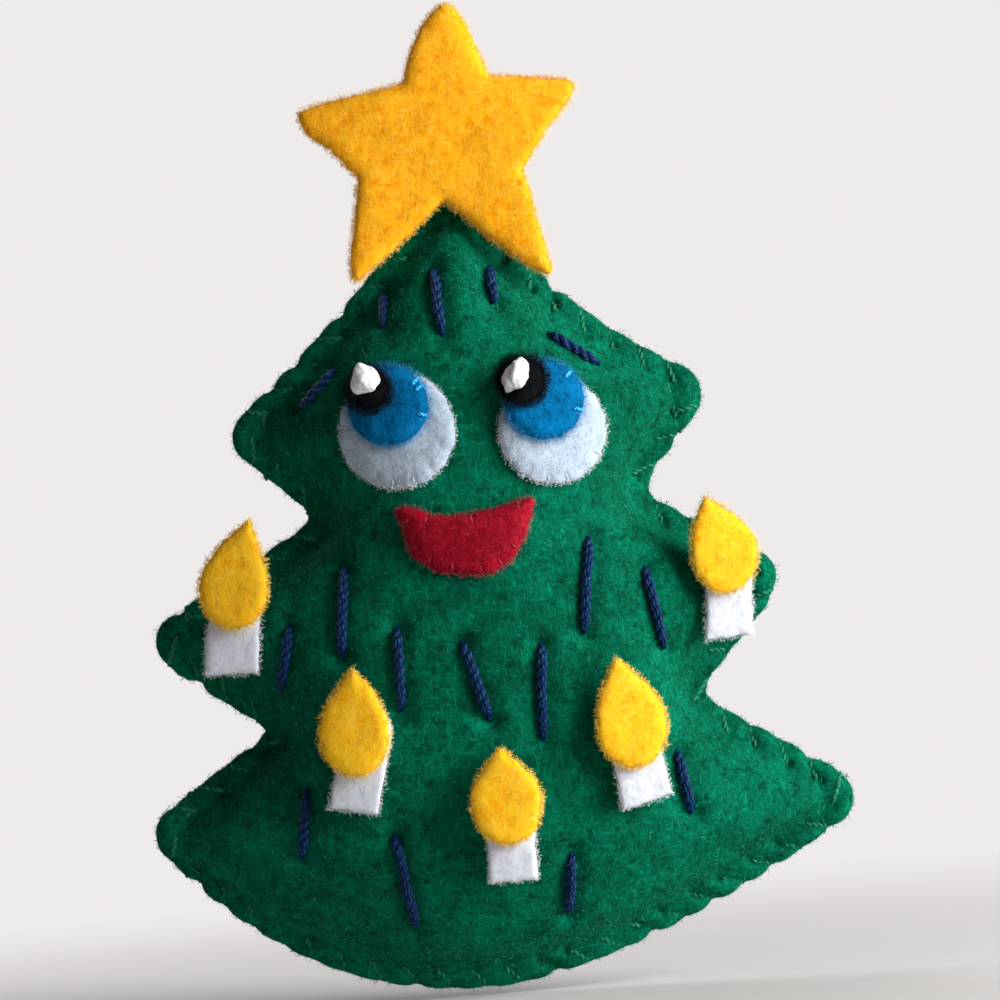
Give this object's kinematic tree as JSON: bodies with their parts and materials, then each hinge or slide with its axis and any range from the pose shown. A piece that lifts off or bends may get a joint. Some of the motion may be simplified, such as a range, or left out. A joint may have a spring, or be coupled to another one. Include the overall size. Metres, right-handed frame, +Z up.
{
  "type": "stuffed felt tree ornament",
  "caption": "Hand-sewn stuffed felt tree with a star on top, a smiling face, felt candles and straight floss stitches; a seasonal decoration that hangs or leans by its back.",
  "frame": {"origin": "middle of the flat of the back panel", "axes": "+Z up towards the star, +Y out of the back, so the face looks along -Y; +X to the viewer's right"},
  "size_m": [0.0703, 0.0248, 0.0992],
  "materials": {
    "green_felt": "matte wool felt with a short nap",
    "green_thread": "matte sewing thread",
    "fibre_filling": "loose white fibre",
    "orange_felt": "matte wool felt",
    "yellow_felt": "matte wool felt",
    "white_felt": "matte wool felt",
    "blue_felt": "matte wool felt",
    "black_felt": "matte wool felt",
    "red_felt": "matte wool felt",
    "navy_floss": "soft sheen of stranded cotton",
    "white_thread": "soft sheen of stranded cotton"
  },
  "bodies": {
    "root": {"front_panel": "green_felt", "back_panel": "green_felt", "edge_thread": "green_thread", "stuffing": "fibre_filling", "star": "orange_felt", "eye_white_left": "white_felt", "iris_left": "blue_felt", "pupil_left": "black_felt", "glint_left": "white_thread", "eye_white_right": "white_felt", "iris_right": "blue_felt", "pupil_right": "black_felt", "glint_right": "white_thread", "mouth": "red_felt", "candle_far_left": "white_felt", "flame_far_left": "yellow_felt", "candle_left": "white_felt", "flame_left": "yellow_felt", "candle_centre": "white_felt", "flame_centre": "yellow_felt", "candle_right": "white_felt", "flame_right": "yellow_felt", "candle_far_right": "white_felt", "flame_far_right": "yellow_felt", "needle_01": "navy_floss", "needle_02": "navy_floss", "needle_03": "navy_floss", "needle_04": "navy_floss", "needle_05": "navy_floss", "needle_06": "navy_floss", "needle_07": "navy_floss", "needle_08": "navy_floss", "needle_09": "navy_floss", "needle_10": "navy_floss", "needle_11": "navy_floss", "needle_12": "navy_floss", "needle_13": "navy_floss", "needle_14": "navy_floss", "needle_15": "navy_floss", "needle_16": "navy_floss"}
  },
  "joints": []
}
